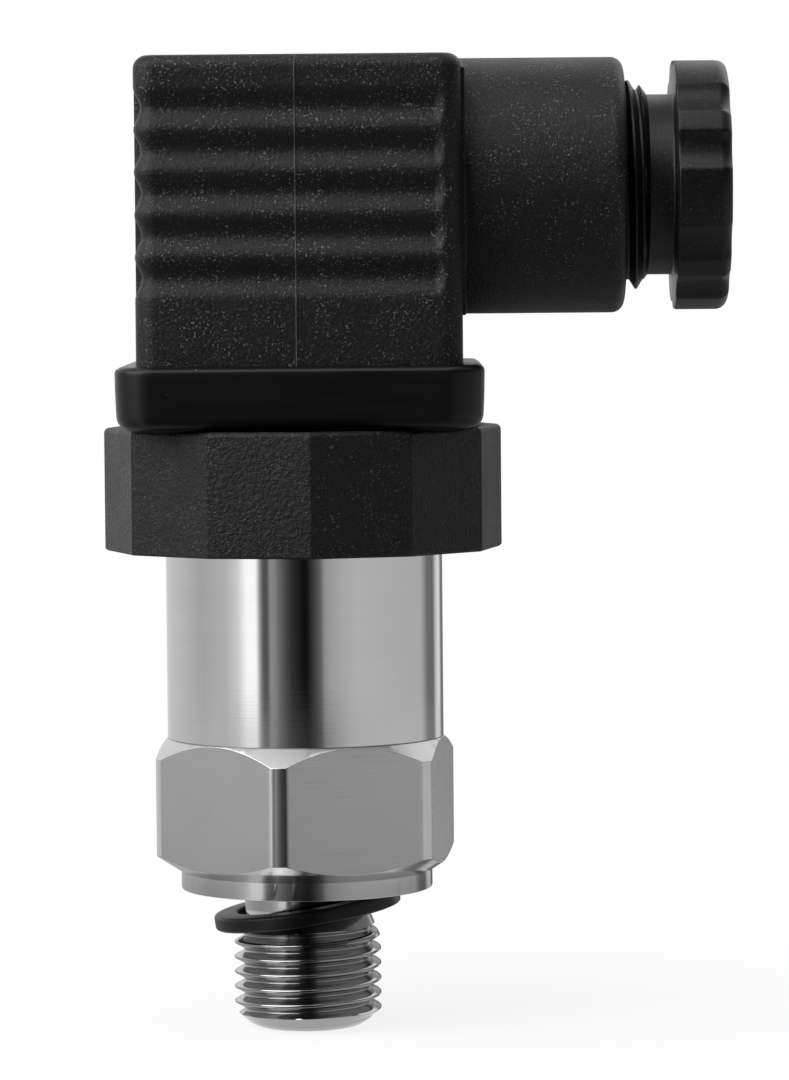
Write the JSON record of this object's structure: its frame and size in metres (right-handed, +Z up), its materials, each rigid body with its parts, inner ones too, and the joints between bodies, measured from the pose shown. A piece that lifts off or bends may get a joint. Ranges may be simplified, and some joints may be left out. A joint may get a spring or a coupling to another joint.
{
  "type": "pressure transmitter",
  "caption": "Threaded pressure transmitter: steel hex body and case, twelve-sided collar ring, square ribbed plug connector and side cable gland.",
  "frame": {"origin": "mouth of the pressure port, on the thread axis at the thread's end", "axes": "+Z up the thread axis towards the plug, +X along the cable gland"},
  "size_m": [0.0555, 0.0354, 0.0864],
  "materials": {
    "process_steel": "satin turned and milled stainless steel",
    "case_steel": "polished stainless tube with fine turning lines",
    "turned_steel": "satin",
    "screw_steel": "zinc plated",
    "thread_rubber": "smooth black",
    "seal_rubber": "smooth black",
    "gasket_rubber": "smooth black with dust specks",
    "grommet_rubber": "smooth black",
    "ceramic": "white alumina",
    "tinned_pins": "bright tin",
    "tinned_blades": "bright tin",
    "spacer_plastic": "natural",
    "board_laminate": "green solder mask",
    "chip_plastic": "moulded epoxy",
    "capacitor_can": "bright can",
    "lead_insulation": "soft insulation",
    "base_plastic": "glass-filled polyamide",
    "insert_brass": "turned",
    "clamp_brass": "stamped",
    "ring_plastic": "coarse grained polyamide",
    "plug_plastic": "grained polyamide",
    "insert_plastic": "polyamide",
    "nut_plastic": "fine grained polyamide",
    "washer_plastic": "polyamide"
  },
  "bodies": {
    "transmitter": {"process_body": "process_steel", "thread_seal": "thread_rubber", "cell_seal": "seal_rubber", "pressure_cell": "ceramic", "cell_clamp_ring": "turned_steel", "cell_pins": "tinned_pins", "case_tube": "case_steel", "board_spacer": "spacer_plastic", "amplifier_board": "board_laminate", "signal_chip": "chip_plastic", "board_capacitors": "capacitor_can", "lead_wires": "lead_insulation", "connector_base": "base_plastic", "contact_blades": "tinned_blades", "base_nut": "insert_brass", "case_seal": "seal_rubber", "collar_ring": "ring_plastic", "plug_gasket": "gasket_rubber"},
    "plug": {"plug_housing": "plug_plastic", "terminal_insert": "insert_plastic", "terminal_clamps": "clamp_brass", "terminal_screws": "screw_steel", "gland_grommet": "grommet_rubber"},
    "screw_ring": {"screw_ring": "seal_rubber"},
    "fixing_screw": {"fixing_screw": "screw_steel"},
    "gland_washer": {"gland_washer": "washer_plastic"},
    "gland_nut": {"gland_nut": "nut_plastic"}
  },
  "joints": [
    {"name": "plug_pull", "type": "slide", "parent": "transmitter", "child": "plug", "axis": [0, 0, 1], "range_m": [0, 0.009]},
    {"name": "screw_lift", "type": "slide", "parent": "plug", "child": "screw_ring", "axis": [0, 0, 1], "range_m": [0, 0.004]},
    {"name": "screw_turn", "type": "hinge", "parent": "screw_ring", "child": "fixing_screw", "pos_m": [0, 0, 0.0836], "axis": [0, 0, 1], "range_deg": [0, 2881]},
    {"name": "gland_travel", "type": "slide", "parent": "plug", "child": "gland_washer", "axis": [1, 0, 0], "range_m": [-0.0042, 0.0038]},
    {"name": "gland_turn", "type": "hinge", "parent": "gland_washer", "child": "gland_nut", "pos_m": [0.0355, 0, 0.07505], "axis": [1, 0, 0], "range_deg": [-1070, 968]}
  ],
  "couplings": [
    {"joint": "screw_turn", "follows": "screw_lift", "rad_per_m": 12566},
    {"joint": "gland_travel", "follows": "gland_turn", "m_per_rad": 0.00022457}
  ]
}
